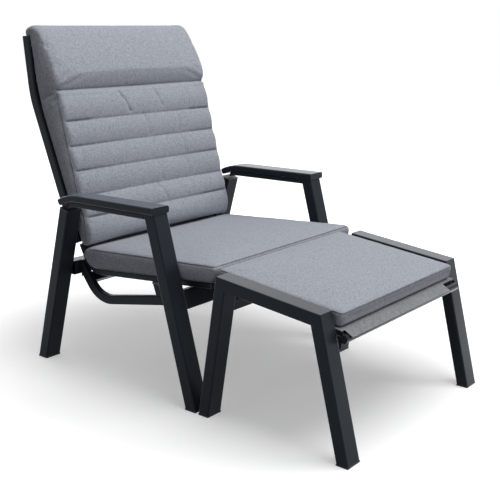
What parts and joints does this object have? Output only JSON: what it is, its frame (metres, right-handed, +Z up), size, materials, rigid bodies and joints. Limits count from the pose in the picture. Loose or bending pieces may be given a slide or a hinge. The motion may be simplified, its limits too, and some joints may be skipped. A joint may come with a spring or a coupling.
{
  "type": "reclining garden armchair",
  "caption": "Garden armchair with armrests, reclining back and a sliding seat, thick channelled cushion with headrest, and a matching footstool with its own cushion",
  "frame": {"origin": "on the floor under the middle of the bounding box of the chair with its footstool at rest", "axes": "+Z up; the chair faces -Y, so +Y runs from the footstool to the back; +X is to the right of somebody looking from behind, and x = 0 is the chair's middle"},
  "size_m": [0.806, 1.2403, 1.023],
  "materials": {
    "frame_coat": "anthracite powder coat, fine matt",
    "black_plastic": "matt",
    "dark_steel": "dark zinc",
    "cushion_fabric": "woven, mid-grey melange",
    "sling_fabric": "coated mesh",
    "stool_sling_fabric": "coated mesh, light grey"
  },
  "bodies": {
    "frame": {"armrest_screws": "dark_steel", "chair_foot_glides": "black_plastic", "friction_washers": "black_plastic", "front_cross_member": "frame_coat", "hinge_bolts": "dark_steel", "hinge_inserts": "dark_steel", "left_armrest": "frame_coat", "left_front_leg": "frame_coat", "left_lower_rail": "frame_coat", "left_rear_leg": "frame_coat", "left_strut": "frame_coat", "left_top_rail": "frame_coat", "leg_top_caps": "black_plastic", "lower_cross_tube": "frame_coat", "plate_bolts": "dark_steel", "rail_end_plates": "frame_coat", "rear_cross_member": "frame_coat", "right_armrest": "frame_coat", "right_front_leg": "frame_coat", "right_lower_rail": "frame_coat", "right_rear_leg": "frame_coat", "right_strut": "frame_coat", "right_top_rail": "frame_coat", "slide_pads": "black_plastic"},
    "backrest": {"back_bottom_tube": "frame_coat", "back_cushion": "cushion_fabric", "back_lumbar_tube": "frame_coat", "back_sling": "sling_fabric", "back_top_tube": "frame_coat", "back_tube_plugs": "black_plastic", "headrest_pillow": "cushion_fabric", "hinge_bushes": "black_plastic", "left_back_tube": "frame_coat", "right_back_tube": "frame_coat", "link_lugs": "frame_coat", "link_pins": "dark_steel"},
    "seat": {"left_seat_rail": "frame_coat", "right_seat_rail": "frame_coat", "link_plates": "frame_coat", "seat_cushion": "cushion_fabric", "seat_front_tube": "frame_coat", "seat_rail_plugs": "black_plastic", "seat_rear_tube": "frame_coat", "seat_sling": "sling_fabric", "slide_runners": "black_plastic"},
    "footstool": {"left_stool_front_leg": "frame_coat", "left_stool_rail": "frame_coat", "left_stool_rear_leg": "frame_coat", "left_stool_side_tube": "frame_coat", "right_stool_front_leg": "frame_coat", "right_stool_rail": "frame_coat", "right_stool_rear_leg": "frame_coat", "right_stool_side_tube": "frame_coat", "stool_cushion": "cushion_fabric", "stool_foot_glides": "black_plastic", "stool_front_tube": "frame_coat", "stool_rear_member": "frame_coat", "stool_rear_tube": "frame_coat", "stool_sling": "stool_sling_fabric", "stool_tube_plugs": "black_plastic"}
  },
  "joints": [
    {"name": "backrest_recline", "type": "hinge", "parent": "frame", "child": "backrest", "pos_m": [0, 0.41619, 0.395], "axis": [-1, 0, 0], "range_deg": [0, 35]},
    {"name": "seat_slide", "type": "slide", "parent": "frame", "child": "seat", "axis": [0, -1, 0], "range_m": [0, 0.0272]},
    {"name": "footstool_slide", "type": "slide", "parent": "seat", "child": "footstool", "axis": [0, -1, 0], "range_m": [0, 0.4]}
  ],
  "couplings": [
    {"joint": "seat_slide", "follows": "backrest_recline", "m_per_rad": 0.0443}
  ]
}
